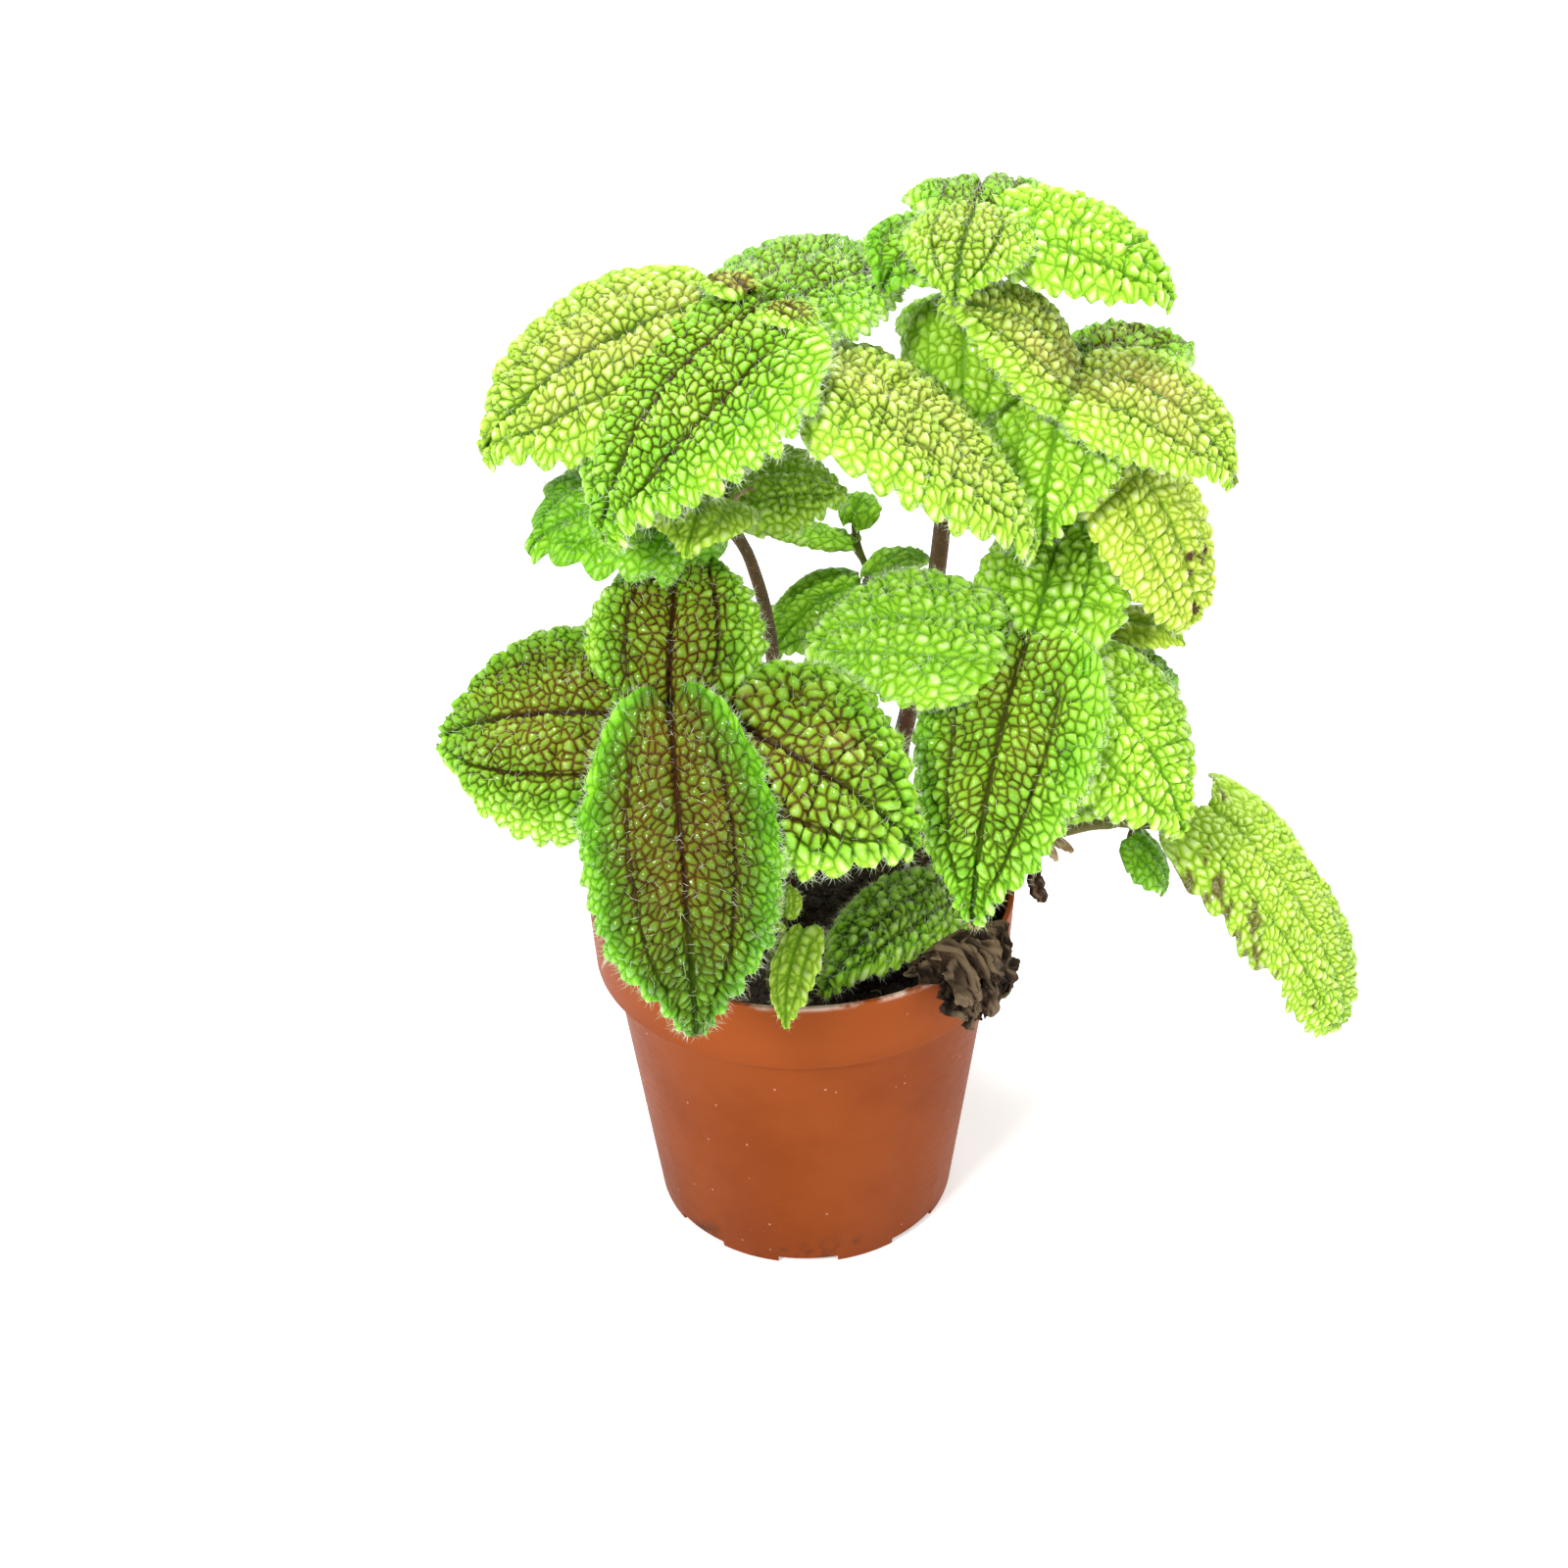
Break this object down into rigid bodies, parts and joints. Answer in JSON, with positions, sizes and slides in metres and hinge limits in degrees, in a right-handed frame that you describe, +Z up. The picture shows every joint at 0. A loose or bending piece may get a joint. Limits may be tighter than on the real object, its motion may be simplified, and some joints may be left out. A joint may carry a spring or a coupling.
{
  "type": "potted plant",
  "caption": "Friendship plant with quilted, toothed green leaves on brown stems, rooted in soil in a terracotta-coloured plastic nursery pot",
  "frame": {"origin": "middle of the pot's flat foot, on its underside", "axes": "+Z up along the pot's axis; -Y is the side seen in the picture; +X is to the right there"},
  "size_m": [0.2182, 0.158, 0.2545],
  "materials": {
    "pot": "slightly glossy terracotta plastic with scuffs and lime specks",
    "soil": "dark crumbly potting soil",
    "stem": "reddish brown hairy stem",
    "leaf": "quilted hairy green leaf with dark veins",
    "dead_leaf": "dry crumpled brown leaf"
  },
  "bodies": {
    "root": {"dead_leaf": "dead_leaf", "leaf_crown_back": "leaf", "leaf_crown_front": "leaf", "leaf_crown_left": "leaf", "leaf_crown_right": "leaf", "leaf_crown_young_left": "leaf", "leaf_crown_young_right": "leaf", "leaf_front_low": "leaf", "leaf_high_back": "leaf", "leaf_high_front": "leaf", "leaf_high_left": "leaf", "leaf_high_right": "leaf", "leaf_inner_back": "leaf", "leaf_inner_front": "leaf", "leaf_inner_left": "leaf", "leaf_inner_right": "leaf", "leaf_low_back": "leaf", "leaf_low_front": "leaf", "leaf_low_left": "leaf", "leaf_low_right": "leaf", "leaf_mid_back": "leaf", "leaf_mid_front": "leaf", "leaf_mid_left": "leaf", "leaf_mid_right": "leaf", "leaf_mid_small": "leaf", "leaf_mid_under": "leaf", "leaf_on_soil": "leaf", "leaf_right_back": "leaf", "leaf_right_low": "leaf", "leaf_side_far": "leaf", "leaf_side_near": "leaf", "leaf_side_small": "leaf", "leaf_tall_back": "leaf", "leaf_tall_front": "leaf", "leaf_tall_low": "leaf", "leaf_tall_shoot": "leaf", "leaf_top_back": "leaf", "leaf_top_front": "leaf", "leaf_top_left": "leaf", "leaf_top_right": "leaf", "leaf_twig_back": "leaf", "leaf_twig_down": "leaf", "leaf_twig_left": "leaf", "leaf_twig_right": "leaf", "leaf_twig_top": "leaf", "pot": "pot", "soil": "soil", "stem_front": "stem", "stem_left": "stem", "stem_mid": "stem", "stem_right": "stem", "stem_shoot": "stem", "stem_side": "stem", "stem_tall": "stem", "stem_twig": "stem"}
  },
  "joints": []
}
